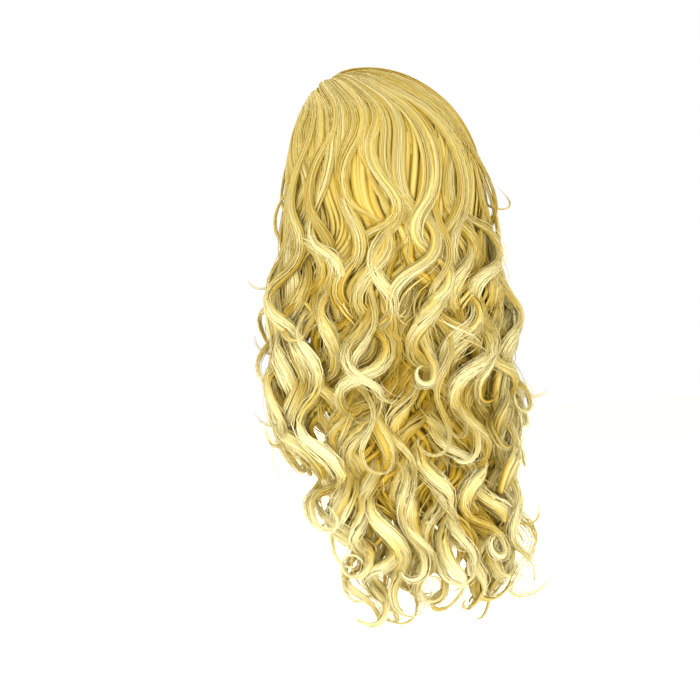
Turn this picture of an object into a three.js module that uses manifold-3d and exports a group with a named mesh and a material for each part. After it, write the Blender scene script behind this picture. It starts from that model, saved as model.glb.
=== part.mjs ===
// A long waved half wig: a hollow stretch cap that sits behind the hairline, the comb that pins its
// front edge, and five wefts of hair sewn to the cap. Each weft is a ridged curtain that splits into
// waved locks.
// Millimetres, +Z up. The wearer faces -Y and the wearer's left is +X.
// The origin is the inside of the cap where the top of the head rests.

import * as THREE from "three";
import { mergeVertices } from "three/addons/utils/BufferGeometryUtils.js";
import Module from "manifold-3d";

const wasm = await Module();
wasm.setup();

// Head form inside the cap
const HEAD_HALF_WIDTH = 74;
const HEAD_HALF_LENGTH = 93;
const HEAD_RISE = 112; // from the head's widest level up to its top
const HEAD_DROP = 190; // the flatter curve under the widest level
const HEAD_LEAN = 30; // the top lies this far in front of the middle of the widest level
const HEAD_FULLNESS = 2.3; // power of the head's rounded outline, 2 being an ellipse
const LEAN_POWER = 2.2;

// Cap and comb
const CAP_WALL = 1.5;
const SEAT_GAP = 0.3;
const CAP_ROOM_DEPTH = 4; // how far the room that the cap needs reaches inwards
const CAP_TURNS = 28;
const CAP_ROWS = 7;
const COMB_SEAT = 0.9; // under the head's own curve, which leaves a seat gap below the cap's flat faces
const COMB_HALF_WIDTH = 27;
const COMB_TEETH = 10;
const COMB_TOOTH_WIDTH = 2.4;
const COMB_THICKNESS = 2;
const COMB_TOOTH_INSET = 0.3;
const COMB_END_MARGIN = 1;
const COMB_TOOTH_ROOT = 0.03; // how far a tooth reaches into the spine
const COMB_SPINE_FRONT = -0.7; // shares of the head's half length, along the middle of the head
const COMB_SPINE_BACK = -0.62;
const COMB_TOOTH_END = -0.4;

// Hair
const WEFT_GAP = 1; // room left between two wefts where they would meet
const HEAD_FALL = 160; // length of hair from the part to the head's widest level
const TOP_THICKNESS = 20;
const SWELL_SIDE = 8; // the hair stands up towards the part's side and the front
const SWELL_FRONT = 8;
const WAVE_LENGTH = 112;
const WAVE_TIGHTENING = 1.4; // extra waves over the whole length
const LONGEST_FALL = 620;
const SWAY = 13; // sideways reach of a full wave
const SWAY_START = 45;
const SWAY_FULL = 330;
const HEAVE_SHARE = 0.34; // of a weft's depth, in and out
const CURTAIN_STEP = 28;
const FURROW = 0.35; // of a weft's depth, between two ridges
const SCALLOP = 22;
const LOCK_SIDES = 6;
const LOCK_STEP = 20;
const LOCK_ROOT = 34; // length of a lock's free end that lies inside the curtain
const LOCK_WIDTH = 0.56; // half width of a lock as a share of the space between locks
const LOCK_TIP = 2.4;
const LOCK_TAPER = 0.45; // share of a free end that narrows to its tip
const LOCK_ROOT_SIZE = 0.4; // of its full section, where a free end starts inside the curtain
const LOCK_TIP_DEPTH = 0.3; // of its full depth, left at the tip
const FAN_START = 330;
const FAN_FULL = 520;
const TANGENT_STEP = 2;
const GOLDEN = 0.618034;

// The part: where the hair leaves the cap, as shares of the head's half width and half length
const PART_SIDE = 0.2;
const PART_BACK = -0.36;
const PART_FRONT = -0.66;
const PART_BACK_ANGLE = 25; // hair that falls behind this angle leaves the back end of the part
const PART_FRONT_ANGLE = 115;

// Lower edge of the cap, by the angle from the middle of the back
const CAP_EDGE = [
  { angle: 0, level: -160 },
  { angle: 45, level: -152 },
  { angle: 80, level: -136 },
  { angle: 100, level: -124 },
  { angle: 115, level: -96 },
  { angle: 130, level: -54 },
  { angle: 150, level: -36 },
  { angle: 180, level: -31 },
];

// Outer form of the hair below the head's widest level, and how deep the hair is there
const HAIR_FORM = [
  { level: -112, halfWidth: 100.8, halfDepth: 119.8, centreX: 0, centreY: 30, thickness: 25 },
  { level: -150, halfWidth: 103.5, halfDepth: 122.5, centreX: 0, centreY: 31, thickness: 28 },
  { level: -200, halfWidth: 116, halfDepth: 123, centreX: -1, centreY: 34, thickness: 32 },
  { level: -240, halfWidth: 129, halfDepth: 122, centreX: -2, centreY: 36, thickness: 37 },
  { level: -290, halfWidth: 133, halfDepth: 117, centreX: -2, centreY: 39, thickness: 43 },
  { level: -340, halfWidth: 141, halfDepth: 111, centreX: -4, centreY: 46, thickness: 46 },
  { level: -394, halfWidth: 135, halfDepth: 99, centreX: -6, centreY: 60, thickness: 46 },
  { level: -440, halfWidth: 123, halfDepth: 89, centreX: -8, centreY: 70, thickness: 44 },
  { level: -492, halfWidth: 118, halfDepth: 78, centreX: -16, centreY: 85, thickness: 41 },
  { level: -524, halfWidth: 116, halfDepth: 74, centreX: -18, centreY: 88, thickness: 40 },
  { level: -556, halfWidth: 96, halfDepth: 64, centreX: -15, centreY: 85, thickness: 34 },
  { level: -585, halfWidth: 66, halfDepth: 50, centreX: -16, centreY: 84, thickness: 27 },
];

// Depths of the side wefts, as for the others below
const SIDE_DEPTHS = [
  { fall: 118, low: 0.03, high: 0.22 },
  { fall: 146, low: 0.34, high: 0.58 },
  { fall: 160, low: 0.37, high: 0.62 },
  { fall: 420, low: 0.36, high: 0.62 },
  { fall: 520, low: 0.36, high: 1 },
];

// The wefts, from the inside out. Angles are from the middle of the back, positive to the wearer's left,
// and fan is how far they have spread at the tips. The root is a length fallen from the part, the hem and
// the tip are levels. Depths are shares of the hair's thickness, by the length fallen from the part.
const WEFTS = [
  {
    name: "weft_nape",
    color: 0xc3aa58,
    angles: { from: -66, to: 66, fan: 1.4, locks: 6 },
    lengths: { root: 150, hem: -410, tip: -572, tipSpread: 16 },
    seed: 0.1,
    depths: [
      { fall: 150, low: 0.03, high: 0.2 },
      { fall: 185, low: 0.07, high: 0.3 },
      { fall: 540, low: 0.04, high: 0.32 },
      { fall: 610, low: 0.05, high: 0.9 },
    ],
  },
  {
    name: "weft_back",
    color: 0xcdb565,
    angles: { from: -66, to: 66, fan: 1.35, locks: 6 },
    lengths: { root: 100, hem: -380, tip: -538, tipSpread: 22 },
    seed: 0.4,
    depths: [
      { fall: 100, low: 0.03, high: 0.24 },
      { fall: 128, low: 0.2, high: 0.42 },
      { fall: 150, low: 0.37, high: 0.62 },
      { fall: 420, low: 0.36, high: 0.62 },
      { fall: 520, low: 0.4, high: 1 },
    ],
  },
  {
    name: "weft_left",
    color: 0xd1ba6a,
    angles: { from: 68, to: 124, fan: 1, locks: 3 },
    lengths: { root: 118, hem: -310, tip: -430, tipSpread: 34 },
    seed: 0.7,
    depths: SIDE_DEPTHS,
  },
  {
    name: "weft_right",
    color: 0xd0b868,
    angles: { from: -124, to: -68, fan: 1, locks: 3 },
    lengths: { root: 118, hem: -310, tip: -430, tipSpread: 34 },
    seed: 0.2,
    depths: SIDE_DEPTHS,
  },
  {
    name: "weft_crown",
    color: 0xdbc576,
    angles: { from: -127, to: 127, fan: 1, locks: 12 },
    lengths: { root: 6, hem: -250, tip: -386, tipSpread: 62 },
    seed: 0.55,
    depths: [
      { fall: 0, low: 0.03, high: 0.55 },
      { fall: 30, low: 0.1, high: 1 },
      { fall: 90, low: 0.36, high: 1 },
      { fall: 150, low: 0.69, high: 1 },
      { fall: 380, low: 0.68, high: 1.02 },
      { fall: 480, low: 0.86, high: 1.25 },
    ],
  },
];

// Finishes
const CAP_FINISH = { color: 0xc9ae77, roughness: 0.85, metalness: 0 };
const COMB_FINISH = { color: 0xb79c64, roughness: 0.35, metalness: 0 };
const HAIR_FINISH = { roughness: 0.42, metalness: 0 };

const radians = THREE.MathUtils.degToRad;

// Straight-line value of one column of a table at a place along its key column.
function readTable(rows, key, column, place) {
  const rising = rows[rows.length - 1][key] > rows[0][key];
  const ordered = rising ? rows : [...rows].reverse();
  if (place <= ordered[0][key]) return ordered[0][column];
  for (let i = 1; i < ordered.length; i++) {
    const a = ordered[i - 1];
    const b = ordered[i];
    if (place <= b[key]) {
      return THREE.MathUtils.mapLinear(place, a[key], b[key], a[column], b[column]);
    }
  }
  return ordered[ordered.length - 1][column];
}

// A point of the head form grown by depth, from its plan place in shares of the half width and half length.
function overHead(shareX, shareY, depth) {
  const spread = Math.min(1, Math.hypot(shareX, shareY));
  const height = Math.pow(1 - Math.pow(spread, HEAD_FULLNESS), 1 / HEAD_FULLNESS);
  return new THREE.Vector3(
    (HEAD_HALF_WIDTH + depth) * shareX,
    HEAD_LEAN * (1 - Math.pow(height, LEAN_POWER)) + (HEAD_HALF_LENGTH + depth) * shareY,
    -HEAD_RISE + (HEAD_RISE + depth) * height,
  );
}

// A point of the cap at an angle from the back, at a share of the way from the top to the cap's edge,
// grown by depth.
function onCap(angle, share, depth) {
  const turn = Math.abs(THREE.MathUtils.euclideanModulo(angle + 180, 360) - 180);
  const edge = readTable(CAP_EDGE, "angle", "level", turn);
  const edgeLift = (edge + HEAD_RISE) / HEAD_RISE;
  const top = Math.PI / 2;
  const edgeTurn = edgeLift >= 0 ? Math.asin(Math.min(1, edgeLift)) : (edge + HEAD_RISE) / HEAD_DROP;
  const tilt = top + (edgeTurn - top) * share;
  const side = radians(angle);
  if (tilt >= 0) {
    const height = Math.sin(tilt);
    const spread = Math.pow(1 - Math.pow(height, HEAD_FULLNESS), 1 / HEAD_FULLNESS);
    return overHead(spread * Math.sin(side), spread * Math.cos(side), depth);
  }
  const spread = Math.cos(tilt);
  return new THREE.Vector3(
    (HEAD_HALF_WIDTH + depth) * spread * Math.sin(side),
    HEAD_LEAN + (HEAD_HALF_LENGTH + depth) * spread * Math.cos(side),
    -HEAD_RISE + HEAD_DROP * tilt,
  );
}

// A point of the hair, from the angle round the head, the length fallen from the part, and the share of
// the hair's depth. It runs straight in plan from the part to the head's widest level, and then hangs.
function drape(angle, fall, share) {
  const side = radians(angle);
  if (fall < HEAD_FALL) {
    const along = Math.sin((Math.PI / 2) * (fall / HEAD_FALL));
    const turnedForward = THREE.MathUtils.smoothstep(Math.abs(angle), PART_BACK_ANGLE, PART_FRONT_ANGLE);
    const partY = THREE.MathUtils.lerp(PART_BACK, PART_FRONT, turnedForward);
    const shareX = THREE.MathUtils.lerp(PART_SIDE, Math.sin(side), along);
    const shareY = THREE.MathUtils.lerp(partY, Math.cos(side), along);
    const thickness = THREE.MathUtils.lerp(TOP_THICKNESS, HAIR_FORM[0].thickness, along);
    const depth = CAP_WALL + SEAT_GAP + share * thickness;
    const point = overHead(shareX, shareY, depth);
    const swell = (share * (point.z + HEAD_RISE)) / (HEAD_RISE + depth);
    point.x += SWELL_SIDE * swell;
    point.y -= SWELL_FRONT * swell;
    return point;
  }
  const level = -HEAD_RISE - (fall - HEAD_FALL);
  const at = (column) => readTable(HAIR_FORM, "level", column, level);
  const inset = (1 - share) * at("thickness");
  return new THREE.Vector3(
    at("centreX") + (at("halfWidth") - inset) * Math.sin(side),
    at("centreY") + (at("halfDepth") - inset) * Math.cos(side),
    level,
  );
}

// A closed body from loose triangles, turned so that its faces point out.
function closedBody(points, triangles) {
  const loose = new THREE.BufferGeometry();
  loose.setAttribute("position", new THREE.Float32BufferAttribute(points.flatMap((p) => [p.x, p.y, p.z]), 3));
  loose.setIndex(triangles.flat());
  const merged = mergeVertices(loose, 1e-3);
  const position = merged.getAttribute("position");
  const corner = (i) => new THREE.Vector3().fromBufferAttribute(position, i);
  const kept = [];
  let volume = 0;
  for (let i = 0; i < merged.index.count; i += 3) {
    const [a, b, c] = [0, 1, 2].map((k) => merged.index.getX(i + k));
    if (a === b || b === c || c === a) continue;
    kept.push([a, b, c]);
    volume += corner(a).dot(corner(b).clone().cross(corner(c)));
  }
  const facingOut = volume > 0 ? kept : kept.map(([a, b, c]) => [a, c, b]);
  return new wasm.Manifold(
    new wasm.Mesh({
      numProp: 3,
      vertProperties: position.array,
      triVerts: new Uint32Array(facingOut.flat()),
    }),
  );
}

// A wall between two surfaces over the same grid, closed round its edges. A ring grid joins its last
// column to its first.
function wallBetween(outer, inner, columns, rows, ring = false) {
  const points = [];
  for (const surface of [outer, inner]) {
    for (let i = 0; i < columns + (ring ? 0 : 1); i++) {
      for (let j = 0; j <= rows; j++) points.push(surface(i / columns, j / rows));
    }
  }
  const wide = ring ? columns : columns + 1;
  const half = wide * (rows + 1);
  const at = (i, j, side) => side * half + (i % wide) * (rows + 1) + j;
  const triangles = [];
  const quad = (a, b, c, d) => triangles.push([a, b, c], [a, c, d]);
  for (let i = 0; i < columns; i++) {
    for (let j = 0; j < rows; j++) {
      quad(at(i, j, 0), at(i + 1, j, 0), at(i + 1, j + 1, 0), at(i, j + 1, 0));
      quad(at(i, j + 1, 1), at(i + 1, j + 1, 1), at(i + 1, j, 1), at(i, j, 1));
    }
    quad(at(i, rows, 0), at(i + 1, rows, 0), at(i + 1, rows, 1), at(i, rows, 1));
    if (!ring) quad(at(i, 0, 1), at(i + 1, 0, 1), at(i + 1, 0, 0), at(i, 0, 0));
  }
  if (!ring) {
    for (let j = 0; j < rows; j++) {
      quad(at(0, j, 0), at(0, j + 1, 0), at(0, j + 1, 1), at(0, j, 1));
      quad(at(columns, j, 1), at(columns, j + 1, 1), at(columns, j + 1, 0), at(columns, j, 0));
    }
  }
  return closedBody(points, triangles);
}

// A tube through rings of equal count, closed by a fan at each end.
function tubeThrough(rings) {
  const sides = rings[0].length;
  const points = rings.flat();
  const triangles = [];
  for (let i = 0; i + 1 < rings.length; i++) {
    for (let k = 0; k < sides; k++) {
      const next = (k + 1) % sides;
      const [a, b] = [i * sides + k, i * sides + next];
      triangles.push([a, b, b + sides], [a, b + sides, a + sides]);
    }
  }
  const last = (rings.length - 1) * sides;
  for (let k = 1; k + 1 < sides; k++) {
    triangles.push([0, k + 1, k], [last, last + k, last + k + 1]);
  }
  return closedBody(points, triangles);
}

function fuse(bodies) {
  return bodies.reduce((whole, body) => whole.add(body));
}

// The largest of the separate bodies that a cut can leave.
function largest(body) {
  return body.decompose().reduce((a, b) => (a.volume() > b.volume() ? a : b));
}

function meshOf(name, body, finish) {
  const { vertProperties, triVerts } = body.getMesh();
  const geometry = new THREE.BufferGeometry();
  geometry.setAttribute("position", new THREE.BufferAttribute(vertProperties, 3));
  geometry.setIndex(new THREE.BufferAttribute(triVerts, 1));
  geometry.computeVertexNormals();
  const mesh = new THREE.Mesh(geometry, new THREE.MeshStandardMaterial(finish));
  mesh.name = name;
  return mesh;
}

// The cap: a cloth bowl, open below and in front. Grown, it is the room that the cap needs under the hair.
function cap(grown = 0) {
  const wall = (depth) => (u, v) => onCap(360 * u, v, depth);
  const inside = grown > 0 ? -CAP_ROOM_DEPTH : 0;
  return wallBetween(wall(CAP_WALL + grown), wall(inside), CAP_TURNS, CAP_ROWS, true);
}

// The comb: a spine along the front edge with slimmer teeth that point back, bent to the inside of the cap.
function comb() {
  const strip = (fromX, toX, fromY, toY, columns, rows, slimmer) => {
    const face = (depth) => (u, v) =>
      overHead(
        THREE.MathUtils.lerp(fromX, toX, u) / HEAD_HALF_WIDTH,
        THREE.MathUtils.lerp(fromY, toY, v),
        depth,
      );
    const upper = face(-COMB_SEAT - slimmer);
    const lower = face(-COMB_SEAT - COMB_THICKNESS + slimmer);
    return wallBetween(upper, lower, columns, rows);
  };
  const spine = strip(-COMB_HALF_WIDTH, COMB_HALF_WIDTH, COMB_SPINE_FRONT, COMB_SPINE_BACK, 8, 1, 0);
  const first = COMB_END_MARGIN - COMB_HALF_WIDTH;
  const pitch = (-2 * first - COMB_TOOTH_WIDTH) / (COMB_TEETH - 1);
  const root = COMB_SPINE_BACK - COMB_TOOTH_ROOT;
  const teeth = Array.from({ length: COMB_TEETH }, (_, i) => {
    const left = first + i * pitch;
    return strip(left, left + COMB_TOOTH_WIDTH, root, COMB_TOOTH_END, 1, 2, COMB_TOOTH_INSET);
  });
  return fuse([spine, ...teeth]);
}

// The length fallen from the part down to a level below the head's widest level.
function fallTo(level) {
  return HEAD_FALL - HEAD_RISE - level;
}

// A spread of values from -0.5 to 0.5 that looks unordered, the same on every run.
function scatter(index, seed) {
  return THREE.MathUtils.euclideanModulo(index * GOLDEN + seed, 1) - 0.5;
}

// The places of one weft's locks: middle angle, phase of the wave and length to the tip.
function locksOf(weft) {
  const { from, to, locks } = weft.angles;
  const { tip, tipSpread } = weft.lengths;
  const pitch = (to - from) / locks;
  return Array.from({ length: locks }, (_, i) => ({
    angle: from + pitch * (i + 0.5),
    pitch,
    phase: 2 * Math.PI * scatter(i, weft.seed),
    end: fallTo(tip) + 2 * tipSpread * scatter(3 * i + 1, weft.seed),
  }));
}

// A weft's depth at a length fallen from the part, in shares of the hair's thickness.
function depthAt(weft, fall) {
  const low = readTable(weft.depths, "fall", "low", fall);
  const high = readTable(weft.depths, "fall", "high", fall);
  return { low, high, middle: (low + high) / 2, half: (high - low) / 2 };
}

// The angle round the head as the weft fans out on the way down.
function fannedAngle(weft, angle, fall) {
  const spread = THREE.MathUtils.smoothstep(fall, FAN_START, FAN_FULL);
  return angle * THREE.MathUtils.lerp(1, weft.angles.fan, spread);
}

// How far a lock has swung at a length fallen from the part: sideways in millimetres, and outward from
// -1 to 1.
function waveAt(place, fall) {
  const turns = fall / WAVE_LENGTH + WAVE_TIGHTENING * (fall / LONGEST_FALL) ** 2;
  const phase = 2 * Math.PI * turns + place.phase;
  const growth = THREE.MathUtils.smoothstep(fall, SWAY_START, SWAY_FULL);
  return { sway: SWAY * growth * Math.sin(phase), heave: growth * Math.cos(phase) };
}

// A point of a weft, moved sideways along the curtain.
function swayed(angle, fall, share, sway) {
  const across = drape(angle + 1, fall, share).sub(drape(angle - 1, fall, share)).normalize();
  return drape(angle, fall, share).addScaledVector(across, sway);
}

// The middle line of a lock.
function lockLine(weft, place, fall) {
  const depth = depthAt(weft, fall);
  const wave = waveAt(place, fall);
  const share = depth.middle + HEAVE_SHARE * depth.half * wave.heave;
  return swayed(fannedAngle(weft, place.angle, fall), fall, share, wave.sway);
}

// The free end of a lock: flattened rings along its line that narrow to the tip. It can be grown all
// round.
function lockEnd(weft, place, hem, grown) {
  const first = hem - LOCK_ROOT;
  const steps = Math.round((place.end - first) / LOCK_STEP);
  const rings = Array.from({ length: steps + 1 }, (_, i) => {
    const fall = THREE.MathUtils.lerp(first - grown, place.end + grown, i / steps);
    const angle = fannedAngle(weft, place.angle, fall);
    const edge = fannedAngle(weft, place.angle + place.pitch / 2, fall);
    const depth = depthAt(weft, fall);
    const next = lockLine(weft, place, fall + TANGENT_STEP);
    const along = next.sub(lockLine(weft, place, fall - TANGENT_STEP)).normalize();
    const out = drape(angle, fall, depth.high).sub(drape(angle, fall, depth.low));
    const across = along.clone().cross(out).normalize();
    const outward = across.clone().cross(along).normalize();
    const space = 2 * drape(angle, fall, depth.middle).distanceTo(drape(edge, fall, depth.middle));
    const left = THREE.MathUtils.clamp((place.end - fall) / (LOCK_TAPER * (place.end - first)), 0, 1);
    const rooting = THREE.MathUtils.clamp((fall - first) / LOCK_ROOT, LOCK_ROOT_SIZE, 1);
    const fullness = Math.sqrt(left) * rooting;
    const deepest = (1 - HEAVE_SHARE) * (out.length() / 2);
    const halfWide = grown + Math.max(LOCK_TIP, LOCK_WIDTH * space * fullness);
    const halfDeep = grown + Math.max(LOCK_TIP, deepest * THREE.MathUtils.lerp(LOCK_TIP_DEPTH, 1, fullness));
    const centre = lockLine(weft, place, fall);
    return Array.from({ length: LOCK_SIDES }, (_, k) => {
      const turn = (2 * Math.PI * k) / LOCK_SIDES;
      return centre
        .clone()
        .addScaledVector(across, halfWide * Math.cos(turn))
        .addScaledVector(outward, halfDeep * Math.sin(turn));
    });
  });
  return tubeThrough(rings);
}

// The curtain that holds a weft's locks: a wall with a ridge along each lock and a furrow between two,
// which sway together and end in a scalloped hem.
function curtain(weft, places, hem, grown) {
  const columns = 2 * places.length;
  const root = weft.lengths.root;
  const rows = Math.round((hem - root) / CURTAIN_STEP);
  const face = (outer) => (u, v) => {
    const column = Math.round(u * columns);
    const before = places[Math.max(0, Math.ceil(column / 2) - 1)];
    const after = places[Math.min(places.length - 1, Math.floor(column / 2))];
    const ridge = column % 2 === 1;
    const fall = THREE.MathUtils.lerp(root - grown, (ridge ? hem : hem - SCALLOP) + grown, v);
    const waves = [before, after].map((place) => waveAt(place, fall));
    const widening = grown * (Number(column === columns) - Number(column === 0));
    const sway = (waves[0].sway + waves[1].sway) / 2 + widening;
    const depth = depthAt(weft, fall);
    const angle = fannedAngle(weft, weft.angles.from + (places[0].pitch * column) / 2, fall);
    const ridgeShare = depth.high - HEAVE_SHARE * depth.half * (1 - waves[0].heave);
    const furrowShare = depth.low + FURROW * (depth.high - depth.low);
    const inner = swayed(angle, fall, depth.low, sway);
    const reach = swayed(angle, fall, ridge ? ridgeShare : furrowShare, sway);
    const out = reach.clone().sub(inner).normalize();
    return outer ? reach.addScaledVector(out, grown) : inner.addScaledVector(out, -grown);
  };
  return wallBetween(face(true), face(false), columns, rows);
}

// A weft: its curtain with the free end of every lock fused to it. Grown, it is the room that the weft needs.
function weftBody(weft, grown = 0) {
  const places = locksOf(weft);
  const hem = fallTo(weft.lengths.hem);
  const ends = places.map((place) => lockEnd(weft, place, hem, grown));
  return fuse([curtain(weft, places, hem, grown), ...ends]);
}

const wig = new THREE.Group();
wig.add(meshOf("cap", cap(), CAP_FINISH));
wig.add(meshOf("front_comb", comb(), COMB_FINISH));

// Each weft is cut clear of the cap and of the wefts that lie under it.
const under = [cap(SEAT_GAP)];
for (const weft of WEFTS) {
  const body = largest(under.reduce((left, room) => left.subtract(room), weftBody(weft)));
  wig.add(meshOf(weft.name, body, { ...HAIR_FINISH, color: weft.color }));
  under.push(weftBody(weft, WEFT_GAP));
}

export default wig;
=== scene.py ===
"""Half wig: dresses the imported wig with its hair, cap and comb.

The file is laid out as a Blender add-on and run as a script. The hair is worked out from the same form as the
solids. A point of the hair has an angle round the head (0 at the middle of the back, positive to the wearer's
left), a fall (the length of hair from the part) and a share of the hair's depth. All lengths are in metres.
"""

import math

import bpy
import numpy as np
from bpy.props import FloatProperty, FloatVectorProperty, IntProperty, PointerProperty
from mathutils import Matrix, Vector


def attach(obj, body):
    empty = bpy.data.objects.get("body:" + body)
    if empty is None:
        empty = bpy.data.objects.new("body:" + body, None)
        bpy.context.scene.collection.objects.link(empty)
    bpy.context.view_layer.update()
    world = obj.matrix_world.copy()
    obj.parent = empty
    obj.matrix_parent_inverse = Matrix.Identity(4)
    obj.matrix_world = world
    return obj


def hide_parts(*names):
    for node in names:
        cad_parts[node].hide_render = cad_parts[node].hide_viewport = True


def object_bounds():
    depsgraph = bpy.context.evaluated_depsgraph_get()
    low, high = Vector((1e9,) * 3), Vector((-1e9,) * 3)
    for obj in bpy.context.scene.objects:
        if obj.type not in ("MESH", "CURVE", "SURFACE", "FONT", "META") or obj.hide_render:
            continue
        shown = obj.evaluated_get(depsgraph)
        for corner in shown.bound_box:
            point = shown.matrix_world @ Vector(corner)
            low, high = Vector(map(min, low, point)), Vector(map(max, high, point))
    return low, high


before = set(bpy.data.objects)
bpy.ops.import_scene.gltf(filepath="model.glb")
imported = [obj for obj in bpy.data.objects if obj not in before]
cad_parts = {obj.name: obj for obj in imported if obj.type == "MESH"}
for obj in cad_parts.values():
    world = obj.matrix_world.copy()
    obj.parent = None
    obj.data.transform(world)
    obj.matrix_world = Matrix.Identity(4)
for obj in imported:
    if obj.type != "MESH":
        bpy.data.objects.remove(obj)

bl_info = {
    "name": "Half Wig",
    "version": (1, 0, 0),
    "blender": (4, 5, 0),
    "location": "View3D > Sidebar > Half Wig",
    "description": "Builds the hair, cap and comb of a long waved half wig over its packed solids",
    "category": "Object",
}

CAD_BOX = [list(corner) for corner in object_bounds()]
# Loose hair may stand this far off the solids' box, and is pressed back within a margin of that
STAND_OFF = np.array((0.015, 0.013, 0.015))
PRESS_MARGIN = 0.014
BODY = "root"

# Outer form of the hair below the head's widest level: level, half width, half depth, centre x, centre y and
# thickness
HAIR_FORM = np.array([
    (-0.112, 0.1008, 0.1198, 0.000, 0.030, 0.025),
    (-0.150, 0.1035, 0.1225, 0.000, 0.031, 0.028),
    (-0.200, 0.1160, 0.1230, -0.001, 0.034, 0.032),
    (-0.240, 0.1290, 0.1220, -0.002, 0.036, 0.037),
    (-0.290, 0.1330, 0.1170, -0.002, 0.039, 0.043),
    (-0.340, 0.1410, 0.1110, -0.004, 0.046, 0.046),
    (-0.394, 0.1350, 0.0990, -0.006, 0.060, 0.046),
    (-0.440, 0.1230, 0.0890, -0.008, 0.070, 0.044),
    (-0.492, 0.1180, 0.0780, -0.016, 0.085, 0.041),
    (-0.524, 0.1160, 0.0740, -0.018, 0.088, 0.040),
    (-0.556, 0.0960, 0.0640, -0.015, 0.085, 0.034),
    (-0.585, 0.0660, 0.0500, -0.016, 0.084, 0.027),
])

# Lower edge of the cap: angle from the middle of the back, level
CAP_EDGE = np.array([
    (0, -0.160), (45, -0.152), (80, -0.136), (100, -0.124),
    (115, -0.096), (130, -0.054), (150, -0.036), (180, -0.031),
])

# Depth of each weft as shares of the hair's thickness: fall, low, high
SIDE_DEPTHS = (
    (0.118, 0.03, 0.22), (0.146, 0.34, 0.58), (0.160, 0.37, 0.62), (0.420, 0.36, 0.62), (0.520, 0.36, 1.0),
)
NAPE_DEPTHS = ((0.150, 0.03, 0.20), (0.185, 0.07, 0.30), (0.540, 0.04, 0.32), (0.610, 0.05, 0.90))
BACK_DEPTHS = (
    (0.100, 0.03, 0.24), (0.128, 0.20, 0.42), (0.150, 0.37, 0.62), (0.420, 0.36, 0.62), (0.520, 0.40, 1.0),
)
CROWN_DEPTHS = (
    (0.000, 0.10, 1.0), (0.090, 0.36, 1.0), (0.150, 0.69, 1.0), (0.380, 0.68, 1.02), (0.480, 0.86, 1.25),
)

# Wefts: angles, fan at the tips, locks of the solid, root fall, tip level, spread of the tips and the seed of
# their scatter. The looks add how uneven the tips are, curls, wisps and strands in each curl, rows of points
# along them, a tone (painted shade on the nape's weft, which lies inside, and painted light on the back's,
# which lies outside), and bare, the fall below which no other weft covers this one.
SIDE_WEFT = dict(fan=1.0, sewn=3, root=0.118, tip=-0.430, spread=0.034, depths=SIDE_DEPTHS, uneven=0.04,
                 curls=10, wisps=2, strands=15, rows=46, tone=0.0, bare=0.30)
WEFTS = {
    "weft_nape": dict(start=-66, stop=66, fan=1.12, sewn=6, root=0.150, tip=-0.565, spread=0.008, seed=0.10,
                      depths=NAPE_DEPTHS, uneven=0.016, curls=22, wisps=2, strands=16, rows=52, tone=-0.3,
                      bare=0.52),
    "weft_back": dict(start=-66, stop=66, fan=1.26, sewn=6, root=0.100, tip=-0.545, spread=0.016, seed=0.40,
                      depths=BACK_DEPTHS, uneven=0.03, curls=24, wisps=2, strands=22, rows=52, tone=0.2,
                      bare=0.40),
    "weft_left": dict(SIDE_WEFT, start=68, stop=124, seed=0.70),
    "weft_right": dict(SIDE_WEFT, start=-124, stop=-68, seed=0.20),
    "weft_crown": dict(start=-127, stop=127, fan=1.0, sewn=12, root=-0.006, tip=-0.386, spread=0.062,
                       seed=0.55, depths=CROWN_DEPTHS, uneven=0.055, curls=46, wisps=3, strands=30, rows=46,
                       tone=-0.1, bare=-0.10),
}
# Curls that stand off the hair, by weft: angle, end, place in its depth, radius and turn of the tip's loop,
# roll in degrees, and width as a share of a curl's
FLYAWAYS = {
    "weft_crown": (
        (-60, 0.190, 1.10, 0.026, 2.7, 230, 0.50),
        (-54, 0.210, 1.10, 0.034, 1.7, 215, 0.50),
        (-64, 0.214, 1.05, 0.038, 1.6, 230, 0.40),
        (-48, 0.366, 1.08, 0.038, 1.8, 90, 0.65),
        (-50, 0.425, 1.00, 0.026, 2.6, 90, 0.50),
        (112, 0.400, 0.75, 0.014, 2.7, 15, 0.35),
        (119, 0.290, 1.00, 0.026, 2.2, 90, 0.40),
        (116, 0.350, 1.00, 0.024, 2.5, 80, 0.45),
        (121, 0.410, 1.00, 0.022, 2.5, 90, 0.40),
        (40, 0.450, 1.05, 0.020, 2.7, -20, 0.40),
        (8, 0.470, 1.05, 0.022, 2.7, -20, 0.40),
    ),
    "weft_back": (
        (-44, 0.550, 1.10, 0.022, 2.7, 90, 0.40),
        (-40, 0.600, 1.00, 0.024, 2.7, 80, 0.80),
        (50, 0.570, 1.10, 0.018, 2.7, 60, 0.40),
        (16, 0.600, 1.10, 0.020, 2.7, -20, 0.40),
    ),
}
# Dense hair behind the locks: weft, wisps, hem, place in its depth, tone (painted shade of the hair deep
# behind the locks), how far its waves are out of step
UNDERLAYS = (
    ("weft_crown", 100, 0.330, 0.34, -0.4, 0.0),
    ("weft_back", 64, 0.550, 0.20, -1.8, 0.6),
    ("weft_left", 20, 0.390, 0.20, -2.2, 0.0),
    ("weft_right", 20, 0.390, 0.20, -2.2, 0.0),
    ("weft_nape", 56, 0.575, 1.55, -1.9, 0.6),
)
# Places of a wisp's columns across its half width
COLUMNS = np.array((-1.0, 0.0, 1.0))
GOLDEN = 0.618034
PIECE_TRIANGLES = 190000
# Sides of a strand's tube, strands in a flyaway, degrees that they take up on the head, and rows of points
# along flyaways and the underlay
STRAND_SIDES = 3
FLYAWAY_STRANDS = 12
FLYAWAY_PITCH = 2.5
FLYAWAY_ROWS = 50
UNDERLAY_ROWS = 36
# Steps between the rows of a strand on the head, in its waves and in its hook, in proportion, and the fall at
# which the first of them end
ROW_STEPS = (0.020, 0.0105, 0.006)
HEAD_ROWS_END = 0.10
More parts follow.
